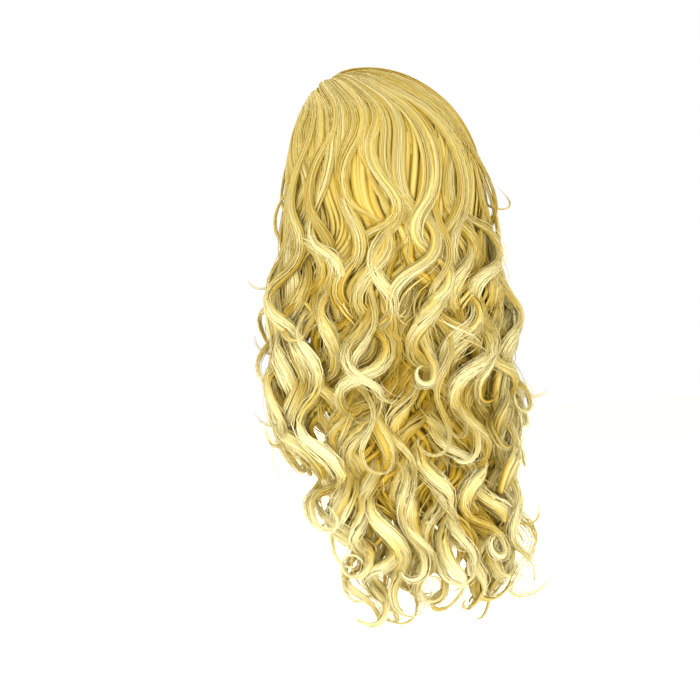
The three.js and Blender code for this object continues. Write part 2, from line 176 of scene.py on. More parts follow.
# Rows of the waves' tables, and the fall from one row to the next
TABLE_ROWS = 380
TABLE_STEP = 0.002
# What each kind of hair adds to the seed
STRAND_SEED = 40
FLYAWAY_SEED = 70
UNDERLAY_SEED = 90

# Angles over which the part moves forward, curls grow calm and roots move down, and the angle of the edge
PART_ANGLES = (25, 115)
CALM_ANGLES = (85, 122)
ROOT_ANGLES = (95, 122)
EDGE_ANGLE = 127
# Falls over which changes of the hair grow in: neighbours part, waves start and are full, curls heave, roll,
# bend, drift and fan out, settle in the weft's depth, gather in ribbons and stray, wisps thicken, and the
# underlay takes its own tone, a painted shade
PARTING = (0.05, 0.20)
FIRST_WAVES = (0.03, 0.11)
FULL_WAVES = (0.08, 0.22)
HEAVING = (0.10, 0.36)
ROLLING = (0.12, 0.30)
BENDING = (0.11, 0.32)
DRIFTING = (0.16, 0.42)
FANNING = (0.330, 0.520)
SETTLING = (0.09, 0.24)
GATHERING = (0.14, 0.31)
STRAYING = (0.04, 0.40)
THICKENING = (0.10, 0.28)
DEEPENING = (0.05, 0.22)
# Falls past its root over which a weft leaves the cap, and over which its hair grows to full width
ROOTING = (-0.006, 0.014)
ROOT_TAPER = (0, 0.012)
# Shares of the head's half length over which the hair thins to the front
THINNING = (0.20, 0.66)

# The waves: share and length of the beat in their reach, phase for each degree, most swing, and the lengths
# over which a hook tightens and heaves
BEAT_SHARE = 0.3
BEAT_LENGTH = 0.21
PHASE_STEP = 0.03
MOST_SWING = 1.30
HOOK_TIGHTENING = 0.25
HOOK_HEAVING = 0.016
# Place in its weft's depth that hair keeps on the head and at its root, how far ribbons turn in bends, and
# the share of the room between two curls that their hair takes up on each side
HEAD_PLACE = 0.66
ROOT_PLACE = 0.45
FACING_TURN = 0.9
ANGLE_SHARE = 0.62
# Steps of angle, fall and share that give the ways across, down and out of the draped hair
DRAPE_STEPS = (1, 0.003, 0.2)
# Tone of hair on outer bends (painted sheen on the crests, painted shade in the troughs), under other wefts
# (painted shade) and by its place in the depth (painted shade on deep curls, painted light on outer ones), of
# each kind (painted shade on the wisps that lie under the strands) and of its edges (painted shade at the
# sides of a lock), and half the fall over which a weft grows bare
BEND_PAINTED_SHEEN_AND_SHADE = 1.5
COVERED_PAINTED_SHADE = -0.8
PLACE_PAINTED_LIGHT_AND_SHADE = 4.0
WISP_PAINTED_SHADE = -0.9
WISP_EDGE_PAINTED_SHADE = -1.4
STRAND_TONE = 0.25
STRAND_EDGE_PAINTED_SHADE = -1.6
FLYAWAY_TONE = -2.0
BARE_EDGE = 0.06
# How much wider the underlay's wisps are than those of locks
UNDERLAY_WIDTH = 1.5
# Chances that a loose strand lies under its ribbon, leaves its curl or is frizzy, and how far frizz strays
SUNK_CHANCE = 0.2
FREE_CHANCE = 0.16
FRIZZ_CHANCE = 0.25
FRIZZ = 3.4

# Half the distance across a wisp, and the distance round a strand, in the map of streaks
WISP_GIRTH = 0.004
STRAND_GIRTH = 0.003
# Baking map: cells in a row for each row, start and size of a tube's walls in its cell, and spot and size of
# its ends
CELL_SHAPE = 6
WALL_ACROSS = (0.08, 0.84)
WALL_ALONG = (0.02, 0.94)
END_SPOT = (0.5, 0.975)
END_SIZE = (0.032, 0.004)

# Looks of the hair: noise scales round and along it, weight of streaks and of tone (the hair's own tone with
# painted shade and painted sheen), the ramp's places, and the tint of its gloss
STREAK_SCALES = ((600, 5.0, 0), (2200, 9.0, 0))
STREAK_WEIGHT = 1.30
TONE_AND_PAINTED_LIGHT_WEIGHT = 0.20
RAMP_PLACES = (0.09, 0.24, 0.54, 0.92)
GLOSS_TINT = (1.0, 0.94, 0.76)
# Falls between which the hair turns paler to its tips, and what is added to its tone at both
HAIR_LIFTS = {"hair_top": (0.10, 0.45, -0.13, 0.05), "hair_under": (0.40, 0.57, -0.22, 0.13)}

# The cap's knit: diamonds round it, their length, rows of hair sewn on it, where its hem starts, its length
# at the back, and the height of its hem and of the sewn rows
NET_CELLS = 168
NET_PITCH = 0.0032
SEWN_ROWS = 11
HEM_SHARE = 0.945
CAP_LENGTH = 0.208
HEM_ROLL = 0.0007
SEWN_HEIGHT = 0.0012
# Columns round the cap, and rows of points for each sewn row and for the hem
CAP_COLUMNS = 96
CAP_ROWS = 6

# The comb: place as a share of the head's half length, depth inside the cap, ends of the teeth, room past
# them, half width and half depth of the spine and a tooth, points along both and round them, and the way that
# they face
COMB_PLACE = -0.66
COMB_DEPTH = -0.0019
TOOTH_ENDS = (-0.65, -0.40)
TOOTH_ROOM = 0.0022
SPINE_SECTION = (0.0036, 0.0010)
TOOTH_SECTION = (0.0012, 0.0007)
SPINE_POINTS = 40
TOOTH_POINTS = 14
COMB_SIDES = 12
COMB_FACING = (0.0, -0.6, 0.8)

# The photograph: side in pixels, column of the head's middle, row and level of the hair's top, pixel size
PHOTO_SIDE = 700
HEAD_COLUMN = 384
TOP_ROW = 70
TOP_LEVEL = 0.016
PIXEL_SIZE = 0.00108
# The camera: angles in degrees, distance, and sensor width in millimetres
AZIMUTH = 148
ELEVATION = 4
DISTANCE = 2.6
SENSOR_WIDTH = 36
# The stage: how far the floor lies under the wig and reaches, and the colour of the room's light
FLOOR_DROP = 0.12
FLOOR_REACH = 3.0
ROOM_LIGHT = (1.05, 0.93, 0.47)
WHITE = (1, 1, 1)


def length_property(name, description, default):
    """Property for a length in metres."""
    return FloatProperty(name=name, description=description, default=default, unit="LENGTH")


def angle_property(name, description, default):
    """Property for an angle in radians."""
    return FloatProperty(name=name, description=description, default=default, subtype="ANGLE")


def number_property(name, description, default):
    """Property for a plain number."""
    return FloatProperty(name=name, description=description, default=default)


def colour_property(name, description, default):
    """Property for a colour."""
    return FloatVectorProperty(
        name=name, description=description, default=default, size=3, subtype="COLOR", min=0, max=1,
    )


class HeadSizes(bpy.types.PropertyGroup):
    """Sizes of the head form, the cap and the comb."""

    half_width: length_property("Half Width", "Half the head's width inside the cap", 0.074)
    half_length: length_property("Half Length", "Half the head's length inside the cap", 0.093)
    rise: length_property("Rise", "From the head's widest level up to its top", 0.112)
    drop: length_property("Drop", "Flatter curve of the head under its widest level", 0.190)
    lean: length_property("Lean", "How far the top lies in front of the widest level's middle", 0.030)
    fullness: number_property("Fullness", "Power of the head's rounded outline, 2 being an ellipse", 2.3)
    lean_power: number_property("Lean Power", "How late the lean starts on the way up", 2.2)
    cap_wall: length_property("Cap Wall", "Thickness of the cap's cloth", 0.0015)
    seat_gap: length_property("Seat Gap", "Clearance between the cap and the hair", 0.0003)
    comb_half_width: length_property("Comb Half Width", "Half the comb's width", 0.027)
    comb_teeth: IntProperty(name="Comb Teeth", description="Teeth of the comb", default=10)


class HairSizes(bpy.types.PropertyGroup):
    """Lengths and waves of the hair."""

    head_fall: length_property("Head Fall", "Hair from the part to the head's widest level", 0.160)
    top_thickness: length_property("Top Thickness", "Depth of the hair on top of the head", 0.020)
    swell: length_property("Swell", "How far the top stands up to the part's side and the front", 0.008)
    front_thinning: number_property("Front Thinning", "Share of its depth that hair loses at the front", 0.60)
    part_side: number_property("Part Side", "Place of the part across the head, as a share", 0.40)
    part_back: number_property("Part Back", "Back end of the part, as a share of the half length", -0.14)
    part_front: number_property("Part Front", "Front end of the part, as a share of the half length", -0.66)
    wave_length: length_property("Wave Length", "Length of a wave near the part", 0.132)
    tightening: number_property("Tightening", "Extra waves over the whole length", 1.3)
    longest: length_property("Longest", "Longest hair from the part", 0.620)
    swing: angle_property("Swing", "How far a full wave turns from straight down", 0.90)
    head_swing: angle_property("Head Swing", "How far the first waves on the head turn", 0.46)
    heave: length_property("Heave", "Reach in and out of a full curl", 0.0085)
    hook_lead: length_property("Hook Lead", "From a tip's hook to the curl's lowest point", 0.036)
    hook_radius: length_property("Hook Radius", "Radius of the loop that a tip winds in", 0.0155)
    hook_length: length_property("Hook Length", "Length of hair that is wound in a tip's loop", 0.070)
    taper_length: length_property("Taper Length", "Length over which a curl narrows to its tip", 0.110)
    ribbon_width: length_property("Ribbon Width", "Half width of a curl's ribbon of hair", 0.0090)
    ribbon_depth: length_property("Ribbon Depth", "Half depth of a curl's ribbon of hair", 0.0018)
    wisp_overlap: number_property("Wisp Overlap", "Width of a wisp as a share of its room in the curl", 1.2)
    wisp_depth: length_property("Wisp Depth", "Half depth of a wisp of hair in a curl", 0.0009)
    strand_width: length_property("Strand Width", "Half width of a loose strand", 0.00048)
    seed: IntProperty(name="Seed", description="Seed of the scatter of curls and strands", default=7)


class WigColours(bpy.types.PropertyGroup):
    """Colours of the hair, the cap and the comb."""

    # The hair's ramp runs shade, deep gold, gold, pale gold. Streaks spread the fibres' own colour over it,
    # and the tone moves hair along it as painted light: deep gold also serves painted shade, and pale gold
    # painted sheen
    deep: colour_property("Deep Gold", "Darker fibres", (0.52, 0.395, 0.105))
    # Shade is painted shade: the colour of hair in the crevices between the locks
    shade: colour_property("Shade", "Hair deep between the locks", (0.42, 0.28, 0.030))
    gold: colour_property("Gold", "Most of the fibres", (0.55, 0.475, 0.22))
    pale: colour_property("Pale Gold", "Lightest fibres and tips", (0.82, 0.775, 0.56))
    net: colour_property("Net", "Cap's knitted net", (0.46, 0.32, 0.14))
    comb: colour_property("Comb", "Comb's plastic", (0.30, 0.19, 0.07))


def head():
    """Sizes of the head, the cap and the comb."""
    return bpy.context.scene.wig_head


def hair():
    """Sizes of the hair."""
    return bpy.context.scene.wig_hair


def colours():
    """Colours of the wig."""
    return bpy.context.scene.wig_colours


def smoothstep(low, high, value):
    """0 below low, 1 above high, and an even S between them."""
    t = np.clip((value - low) / (high - low), 0, 1)
    return t * t * (3 - 2 * t)


def unit(vectors):
    """Vectors of length one along the last axis."""
    return vectors / np.maximum(np.linalg.norm(vectors, axis=-1, keepdims=True), 1e-12)


def over_head(share_x, share_y, depth):
    """Head form grown by depth, over a plan place in shares of its half width and half length.

    The height is that of a rounded outline, height^p + spread^p = 1, and the whole section moves forward as
    it rises.
    """
    h = head()
    spread = np.minimum(1, np.hypot(share_x, share_y))
    height = (1 - spread**h.fullness) ** (1 / h.fullness)
    return np.stack(np.broadcast_arrays(
        (h.half_width + depth) * share_x,
        h.lean * (1 - height**h.lean_power) + (h.half_length + depth) * share_y,
        -h.rise + (h.rise + depth) * height,
    ), axis=-1)


def on_cap(angle, share, depth):
    """Cap surface at an angle and at a share of the way from the top to its edge, grown by depth."""
    h = head()
    turn = np.abs((angle + 180) % 360 - 180)
    lift = (np.interp(turn, CAP_EDGE[:, 0], CAP_EDGE[:, 1]) + h.rise) / h.rise
    edge_tilt = np.where(lift >= 0, np.arcsin(np.clip(lift, 0, 1)), lift * h.rise / h.drop)
    tilt = math.pi / 2 + (edge_tilt - math.pi / 2) * share
    side = np.radians(angle)
    height = np.sin(np.maximum(tilt, 0))
    spread = (1 - height**h.fullness) ** (1 / h.fullness)
    above = over_head(spread * np.sin(side), spread * np.cos(side), depth)
    low = np.cos(np.minimum(tilt, 0))
    below = np.stack(np.broadcast_arrays(
        (h.half_width + depth) * low * np.sin(side),
        h.lean + (h.half_length + depth) * low * np.cos(side),
        -h.rise + h.drop * tilt,
    ), axis=-1)
    return np.where((tilt >= 0)[..., None], above, below)


def drape(angle, fall, share):
    """Point of the hair at an angle, a fall and a share of its depth.

    The hair runs straight in plan from the part to the head's widest level, then hangs in the hair's form.
    """
    s, h = hair(), head()
    angle, fall, share = np.broadcast_arrays(angle, fall, share)
    side = np.radians(angle)
    along = np.sin(math.pi / 2 * np.clip(fall / s.head_fall, -0.2, 1))
    part_y = s.part_back + (s.part_front - s.part_back) * smoothstep(*PART_ANGLES, np.abs(angle))
    share_x = s.part_side + (np.sin(side) - s.part_side) * along
    share_y = part_y + (np.cos(side) - part_y) * along
    thinned = 1 - s.front_thinning * smoothstep(*THINNING, -share_y) * (1 - along**2)
    thickness = (s.top_thickness + (HAIR_FORM[0, 5] - s.top_thickness) * along) * thinned
    depth = h.cap_wall + h.seat_gap + share * thickness
    upper = over_head(share_x, share_y, depth)
    swell = s.swell * thinned * share * (upper[..., 2] + h.rise) / (h.rise + depth)
    upper = upper + np.stack([swell, -swell, np.zeros_like(swell)], axis=-1)
    level = -h.rise - np.maximum(fall - s.head_fall, 0)
    width, deep, x, y, thick = (np.interp(-level, -HAIR_FORM[:, 0], HAIR_FORM[:, k]) for k in range(1, 6))
    inset = (1 - share) * thick
    lower = np.stack([x + (width - inset) * np.sin(side), y + (deep - inset) * np.cos(side), level], axis=-1)
    return np.where((fall < s.head_fall)[..., None], upper, lower)


def scatter(index, seed):
    """Values from -0.5 to 0.5 that look unordered: the golden ratio's multiples, wrapped."""
    return (np.asarray(index) * GOLDEN + seed) % 1 - 0.5


def fall_to(level):
    """Hair from the part down to a level below the head's widest level."""
    return hair().head_fall - head().rise - level


def curls_of(weft, rng):
    """One row of values for each curl of a weft: even angle on the head, angle, end, phase, place and so on.

    A curl takes the phase and the end of the solid's lock that it belongs to, moved a little.
    """
    count = weft["curls"]
    width = weft["stop"] - weft["start"]
    pitch = width / count
    even = weft["start"] + pitch * (np.arange(count) + 0.5)
    angle = even + pitch * rng.uniform(-0.22, 0.22, count)
    lock = np.clip((angle - weft["start"]) / width * weft["sewn"], 0, weft["sewn"] - 1).astype(int)
    uneven = rng.uniform(-1, 1, count) * weft["uneven"]
    end = fall_to(weft["tip"]) + 2 * weft["spread"] * scatter(3 * lock + 1, weft["seed"]) + uneven
    front = smoothstep(*CALM_ANGLES, np.abs(angle))
    return {
        "even": even,
        "angle": angle,
        "pitch": pitch,
        "end": end,
        "phase": 2 * math.pi * scatter(lock, weft["seed"]) + rng.uniform(-0.8, 0.8, count),
        "place": np.where(np.arange(count) % 2, 0.80, 0.45) + rng.uniform(-0.10, 0.10, count),
        "drift": rng.uniform(-7, 7, count) * (1 - np.abs(angle) / EDGE_ANGLE),
        "reach": rng.uniform(0.75, 1.2, count) * (1 - 0.4 * front),
        "pace": rng.uniform(0.88, 1.12, count),
        "beat": rng.uniform(0, 2 * math.pi, count),
        "width": hair().ribbon_width * rng.uniform(0.5, 1.4, count),
        "hook_radius": hair().hook_radius * rng.uniform(0.8, 1.75, count),
        "hook_length": hair().hook_length * rng.uniform(0.5, 1.1, count),
        "turn": np.where(rng.random(count) < 0.5, -1.0, 1.0),
        "tone": rng.uniform(-1, 1, count),
        "roll": rng.uniform(-0.35, 0.5, count) * (1 - 0.8 * front),
    }


def wave_tables(curls):
    """Tables of each curl's departure from its draped line, curl by fall.

    The curl's heading swings as a sine of its phase, so that its bends are round, and the departures across
    and down are the sums of the heading's sine and cosine. From the last upright crossing before the end the
    heading keeps turning one way, which winds the tip in a hook. On the head neighbours swing together.
    """
    s = hair()
    fall = np.arange(TABLE_ROWS)[None, :] * TABLE_STEP
    apart = smoothstep(*PARTING, fall)
    beat = np.sin(2 * math.pi * fall / BEAT_LENGTH + curls["beat"][:, None])
    reach = curls["reach"][:, None] * (1 + BEAT_SHARE * beat)
    turns = fall / s.wave_length + s.tightening * (fall / s.longest) ** 2
    phase = 2 * math.pi * turns * (1 + (curls["pace"][:, None] - 1) * apart)
    phase = phase + PHASE_STEP * curls["angle"][:, None] + curls["phase"][:, None] * apart
    swing = s.head_swing * smoothstep(*FIRST_WAVES, fall)
    swing = swing + (s.swing - s.head_swing) * smoothstep(*FULL_WAVES, fall)
    swing = np.minimum(swing * reach, MOST_SWING)
    last = ((curls["end"] - s.hook_lead) / TABLE_STEP).astype(int)
    crossing = np.round(phase[np.arange(len(last)), last] / math.pi)
    start = np.argmax(phase >= crossing[:, None] * math.pi, axis=1) * TABLE_STEP
    side = np.where(crossing % 2 == 0, 1.0, -1.0)[:, None]
    past = np.maximum(fall - start[:, None], 0)
    wound = past / curls["hook_radius"][:, None] * (1 + past / HOOK_TIGHTENING)
    heading = np.where(past > 0, side * wound, swing * np.sin(phase))
    stretch = np.where(past > 0, 1, 1 / (1 - swing**2 / 4 + swing**4 / 64))
    heave = s.heave * curls["turn"][:, None] * smoothstep(*HEAVING, fall) * reach
    return {
        "start": start,
        "drift": curls["drift"],
        "roll": curls["roll"][:, None] * side * smoothstep(*ROLLING, fall),
        "heading": heading,
        "bend": np.where(past > 0, side, np.cos(phase)) * smoothstep(*BENDING, fall),
        "across": np.cumsum(stretch * np.sin(heading), axis=1) * TABLE_STEP,
        "down": np.cumsum(stretch * np.cos(heading) - (past <= 0), axis=1) * TABLE_STEP,
        "heave": heave * np.where(past > 0, side * np.tanh(past / HOOK_HEAVING), np.sin(phase)),
    }


def look_up(table, curl, fall):
    """Values of a table between its rows, for strands of the given curls."""
    place = np.clip(fall / TABLE_STEP, 0, TABLE_ROWS - 2)
    row = place.astype(int)
    part = place - row
    picked = table[curl]
    return np.take_along_axis(picked, row, 1) * (1 - part) + np.take_along_axis(picked, row + 1, 1) * part


def curl_path(weft, waves, curl, angle, fall, place):
    """Waved line at an angle and a place in the weft's depth, with the way that its ribbon faces.

    The line drapes over the form as far as its hook and departs from there as the curl's tables say, in a
    plane that the curl's roll turns out of the form's surface. The ribbon faces outwards, and turns towards
    the outside of each bend.
    """
    held = np.minimum(fall, waves["start"][curl][:, None])
    table = np.array(weft["depths"])
    low = np.interp(held, table[:, 0], table[:, 1])
    high = np.interp(held, table[:, 0], table[:, 2])
    rooted = smoothstep(*ROOTING, held - table[0, 0])
    share = (low + (high - low) * place) * rooted + ROOT_PLACE * high * (1 - rooted)
    fanned = angle * (1 + (weft["fan"] - 1) * smoothstep(*FANNING, held))
    fanned = fanned + waves["drift"][curl][:, None] * smoothstep(*DRIFTING, held)
    base = drape(fanned, held, share)
    across, down, outward = (
        unit(drape(fanned + a, held + b, share + c) - drape(fanned - a, held - b, share - c))
        for a, b, c in np.diag(DRAPE_STEPS)
    )
    for _ in range(3):
        base[:, 1:-1] = (base[:, :-2] + 2 * base[:, 1:-1] + base[:, 2:]) / 4
    roll, sideways, lower, heave, heading, bend = (
        look_up(waves[key], curl, fall)[..., None]
        for key in ("roll", "across", "down", "heave", "heading", "bend")
    )
    cosine, sine = np.cos(roll), np.sin(roll)
    across, outward = across * cosine + outward * sine, outward * cosine - across * sine
    line = base + across * sideways + down * lower + outward * heave
    facing = outward - (across * np.cos(heading) - down * np.sin(heading)) * bend * FACING_TURN
    return line, facing


def within_room(points):
    """Points pressed softly into the room round the solids.

    Past a margin, the distance grows only as a hyperbolic tangent.
    """
    low, high = np.array(CAD_BOX)
    middle, half = (low + high) / 2, (high - low) / 2 + STAND_OFF
    offset = points - middle
    past = np.maximum(np.abs(offset) - half + PRESS_MARGIN, 0)
    pressed = half - PRESS_MARGIN + PRESS_MARGIN * np.tanh(past / PRESS_MARGIN)
    return middle + np.where(past > 0, np.sign(offset) * pressed, offset)


def row_falls(t, root, hook, end):
    """Fall of each row of a strand: wide steps on the head, narrower in waves, narrowest in hooks."""
    bounds = [root, np.maximum(root, HEAD_ROWS_END), np.minimum(hook, end), np.maximum(hook, end)]
    lengths = [high - low for low, high in zip(bounds, bounds[1:])]
    lengths[2] = end - bounds[2]
    counts = [length / step for length, step in zip(lengths, ROW_STEPS)]
    total = sum(counts)
    fall, reached = root, 0
    for length, count in zip(lengths, counts):
        fall = fall + length * np.clip((t * total - reached) / np.maximum(count, 1e-9), 0, 1)
        reached = reached + count
    return fall


def strand_paths(weft, curls, pick, rows):
    """Middle lines of strands, as arrays of strand by row by xyz, with what their tubes and colour need.

    On the head a strand drapes at its own angle. On the way down it gathers into its curl's ribbon, where it
    keeps its own place across the ribbon and in its depth, and the ribbon narrows to the tip.
    """
    s = hair()
    curl = pick["curl"]
    waves = wave_tables(curls)
    t = np.linspace(0, 1, rows)[None, :]
    tip = (waves["start"] + curls["hook_length"])[curl][:, None]
    end = tip + pick["longer"][:, None]
    middle = curls["angle"][curl][:, None]
    root = weft["root"] - min(weft["root"], 0) * smoothstep(*ROOT_ANGLES, np.abs(middle))
    fall = row_falls(t, root, waves["start"][curl][:, None], end)
    place = curls["place"][curl][:, None]
    settled = smoothstep(*SETTLING, fall)
    own_place = HEAD_PLACE + (place - HEAD_PLACE) * settled + pick["place"][:, None] * (0.3 + 0.7 * settled)
    pointed = 0.04 + 0.96 * np.clip((end - fall) / (0.8 * s.taper_length), 0, 1) ** 0.6
    pointed = pointed * (0.3 + 0.7 * smoothstep(*ROOT_TAPER, fall - root))
    own_angle = pick["angle"][:, None] + pick["edge"][:, None] * ANGLE_SHARE * curls["pitch"] * pointed
    own, own_facing = curl_path(weft, waves, curl, curls["even"][curl][:, None] + own_angle, fall, own_place)
    line, facing = curl_path(weft, waves, curl, middle + 0 * fall, fall, place + 0 * fall)
    along = unit(np.gradient(line, axis=1))
    over = unit(facing - along * np.sum(facing * along, axis=-1, keepdims=True))
    beside = np.cross(along, over)
    left = np.clip((tip - fall) / s.taper_length, 0, 1)
    ribbon = curls["width"][curl][:, None] * (0.30 + 0.70 * left**0.7)
    edge = pick["edge"][:, None] * curls["width"][curl][:, None] * pointed
    bow = 0.60 * (pick["beside"] + pick["edge"])[:, None] ** 2 * ribbon
    line = line + beside * (pick["beside"][:, None] * ribbon + edge)[..., None]
    line = line + over * (pick["over"][:, None] * s.ribbon_depth * (0.3 + 0.7 * left) - bow)[..., None]
    gathered = smoothstep(*GATHERING, fall)[..., None] * pick["hold"][:, None, None]
    path = own * (1 - gathered) + line * gathered
    wander = np.sin(fall[..., None] * pick["wander"][:, None, :] + pick["start"][:, None, :])
    path = path + wander * (pick["stray"][:, None] * smoothstep(*STRAYING, fall))[..., None]
    path = within_room(path)
    # Painted light in the tone: a painted sheen on the outer bends of bare hair and painted shade in their
    # troughs, painted shade on hair that other wefts cover, and painted shade on curls deep in the weft,
    # painted light on outer ones
    bulge = look_up(waves["heave"], curl, fall) / s.heave
    bare = smoothstep(weft["bare"] - BARE_EDGE, weft["bare"] + BARE_EDGE, fall)
    tone = pick["tone"][:, None] * (0.6 + 0.4 * settled)
    tone = tone + BEND_PAINTED_SHEEN_AND_SHADE * bulge * bare + COVERED_PAINTED_SHADE * (1 - bare)
    tone = tone + PLACE_PAINTED_LIGHT_AND_SHADE * (place - HEAD_PLACE) * settled
    return {
        "path": path,
        "facing": own_facing * (1 - gathered) + facing * gathered,
        "fall": fall,
        "left": (end - fall) / s.taper_length,
        "tone": tone,
        "mark": pick["mark"],
    }


def pick_strands(rng, curls, per_curl, spread, stray):
    """Values of each strand of a weft, in a fixed count for each curl: which curl, and its place in it."""
    curl_count = len(curls["angle"])
    count = curl_count * per_curl
    curl = np.repeat(np.arange(curl_count), per_curl)
    slot = np.tile((np.arange(per_curl) + 0.5) / per_curl, curl_count)
    beside = (slot - 0.5) * 2 + rng.uniform(-0.5, 0.5, count) / per_curl
    return {
        "curl": curl,
        "beside": beside * spread,
        "edge": np.zeros(count),
        "over": rng.uniform(-1, 1, count) * spread,
        "angle": beside * ANGLE_SHARE * curls["pitch"],
        "place": rng.uniform(-0.24, 0.24, count),
        "hold": rng.uniform(0.55, 1.0, count) ** 0.6,
        "longer": rng.uniform(-0.060, 0.010, count),
        "stray": np.abs(rng.normal(0, stray, count)),
        "wander": rng.uniform(16, 44, (count, 3)),
        "start": rng.uniform(0, 2 * math.pi, (count, 3)),
        "tone": 0.5 * curls["tone"][curl] + rng.normal(0, 0.40, count),
        "mark": rng.uniform(0, 10, count),
    }


def pick_wisps(rng, curls, per_curl):
    """Values of each column of each wisp: those of a strand in the wisp's middle, spread across its width."""
    middle = pick_strands(rng, curls, per_curl, 0.75, 0.0006)
    half = hair().wisp_overlap / per_curl * rng.uniform(0.7, 1.3, len(middle["curl"]))
    pick = {key: np.repeat(value, len(COLUMNS), axis=0) for key, value in middle.items()}
    pick["edge"] = (half[:, None] * COLUMNS).ravel()
    outer = np.abs(pick["beside"] + pick["edge"])
    # Painted shade: wisps lie under the strands and are darker, the more so towards the edges of their ribbon
    pick["tone"] = pick["tone"] + rng.normal(WISP_PAINTED_SHADE, 0.2, len(outer)) + WISP_EDGE_PAINTED_SHADE * outer
    return pick


def around(columns):
    """Values of a wisp's columns in the order of its ring: across the top, then back along the underside."""
    return np.concatenate([columns, columns[:, -2:0:-1]], axis=1).swapaxes(1, 2)


def ribbons(path, facing, half_deep):
    """Rings of a lens-shaped section through each wisp's columns: wisp by row by side by xyz.

    The top of the section is raised over the columns and the underside lowered, by a depth that falls to
    nothing at the edges as a half circle does.
    """
    along = unit(np.gradient(path, axis=2))
    out = unit(facing - along * np.sum(facing * along, axis=-1, keepdims=True))
    lens = out * (np.sqrt(1 - COLUMNS**2)[None, :, None] * half_deep[:, None, :])[..., None]
    rings = around(path - lens)
    rings[:, :, : len(COLUMNS)] = (path + lens).swapaxes(1, 2)
    return rings


def tubes(path, facing, half_wide, half_deep, sides):
    """Rings of a flattened section carried along each path: strand by row by side by xyz.

    The section is an ellipse whose flat side faces the given way, square to the path.
    """
    along = unit(np.gradient(path, axis=1))
    out = unit(facing - along * np.sum(facing * along, axis=-1, keepdims=True))
    across = np.cross(out, along)
    turn = 2 * math.pi * np.arange(sides) / sides
    return (
        path[:, :, None, :]
        + across[:, :, None, :] * (half_wide[..., None] * np.cos(turn))[..., None]
        + out[:, :, None, :] * (half_deep[..., None] * np.sin(turn))[..., None]
    )


def closed_tubes(name, rings, fall, tone, mark, girth):
    """Mesh of closed tubes from their rings, with the maps that its material and its baking read.

    The map named strand holds the distance round the tube and the fall, in metres, so that streaks run along
    the hair. Girth lists that distance for each side of the ring and for its close.
    """
    count, rows, sides, _ = rings.shape
    number = np.arange(count * rows * sides).reshape(count, rows, sides)
    nxt = np.roll(number, -1, axis=2)
    walls = np.stack([number[:, :-1], nxt[:, :-1], nxt[:, 1:], number[:, 1:]], axis=-1).reshape(-1, 4)
    ends = np.concatenate([number[:, 0, ::-1], number[:, -1]])

    i, j, k = np.meshgrid(np.arange(count), np.arange(rows - 1), np.arange(sides), indexing="ij")
    corner_row = j[..., None] + np.array([0, 0, 1, 1])
    corner_side = k[..., None] + np.array([0, 1, 1, 0])
    corner_strand = np.broadcast_to(i[..., None], corner_row.shape)
    round_tube = mark[corner_strand] + girth[corner_side]
    wall_strand = np.stack([round_tube, fall[corner_strand, corner_row]], axis=-1).reshape(-1, 2)
    columns = math.ceil(math.sqrt(count * CELL_SHAPE))
    lines = math.ceil(count / columns)
    cell = np.stack([
        (corner_strand % columns + WALL_ACROSS[0] + WALL_ACROSS[1] * corner_side / sides) / columns,
        (corner_strand // columns + WALL_ALONG[0] + WALL_ALONG[1] * corner_row / (rows - 1)) / lines,
    ], axis=-1).reshape(-1, 2)
    cap_strand = np.stack([
        np.repeat(np.tile(mark, 2), sides),
        np.repeat(np.concatenate([fall[:, 0], fall[:, -1]]), sides),
    ], axis=-1)
    which = np.tile(np.arange(count), 2)
    spot = [(which % columns + END_SPOT[0]) / columns, (which // columns + END_SPOT[1]) / lines]
    ring = 2 * math.pi * np.arange(sides) / sides
    dots = np.stack([END_SIZE[0] * np.cos(ring) / columns, END_SIZE[1] * np.sin(ring) / lines], axis=-1)
    cap_cell = (np.stack(spot, axis=-1)[:, None, :] + dots[None]).reshape(-1, 2)

    mesh = bpy.data.meshes.new(name)
    loops = np.concatenate([walls.ravel(), ends.ravel()])
    totals = np.concatenate([np.full(len(walls), 4), np.full(len(ends), sides)])
    mesh.vertices.add(count * rows * sides)
    mesh.vertices.foreach_set("co", rings.astype(np.float32).ravel())
    mesh.loops.add(len(loops))
    mesh.loops.foreach_set("vertex_index", loops.astype(np.int32))
    mesh.polygons.add(len(totals))
    mesh.polygons.foreach_set("loop_start", (np.cumsum(totals) - totals).astype(np.int32))
    mesh.polygons.foreach_set("use_smooth", np.ones(len(totals), bool))
    mesh.update(calc_edges=True)
    for title, maps in (("OFBake", (cell, cap_cell)), ("strand", (wall_strand, cap_strand))):
        layer = mesh.uv_layers.new(name=title)
        layer.uv.foreach_set("vector", np.concatenate(maps).astype(np.float32).ravel())
    tones = mesh.attributes.new("tone", "FLOAT", "POINT")
    tones.data.foreach_set("value", tone.astype(np.float32).ravel())
    return mesh


def place_piece(mesh, material, slot, *nodes):
    """Object of a mesh, riding on the wig in place of its solids."""
    mesh.materials.append(material)
    piece = bpy.data.objects.new(mesh.name, mesh)
    bpy.context.scene.collection.objects.link(piece)
    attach(piece, BODY)
    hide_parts(*nodes)
    return piece


def slot_of(weft_name):
    """Material slot of a weft's hair."""
    return "hair_top" if weft_name == "weft_crown" else "hair_under"


def place_hair(weft_name, kind, rings, fall, tone, mark, girth):
    """Pieces of a weft's hair from the rings of its tubes, split so that none has more than the set count of
    triangles.
    """
    title = weft_name.replace("weft_", "") + "_" + kind
    count, rows, sides, _ = rings.shape
    parts = math.ceil(count * rows * sides * 2 / PIECE_TRIANGLES)
    for number, part in enumerate(np.array_split(np.arange(count), parts)):
        name = title if parts == 1 else f"{title}_{number + 1}"
        mesh = closed_tubes(name, rings[part], fall[part], tone[part], mark[part], girth)
        slot = slot_of(weft_name)
        place_piece(mesh, hair_material(slot), slot, weft_name)


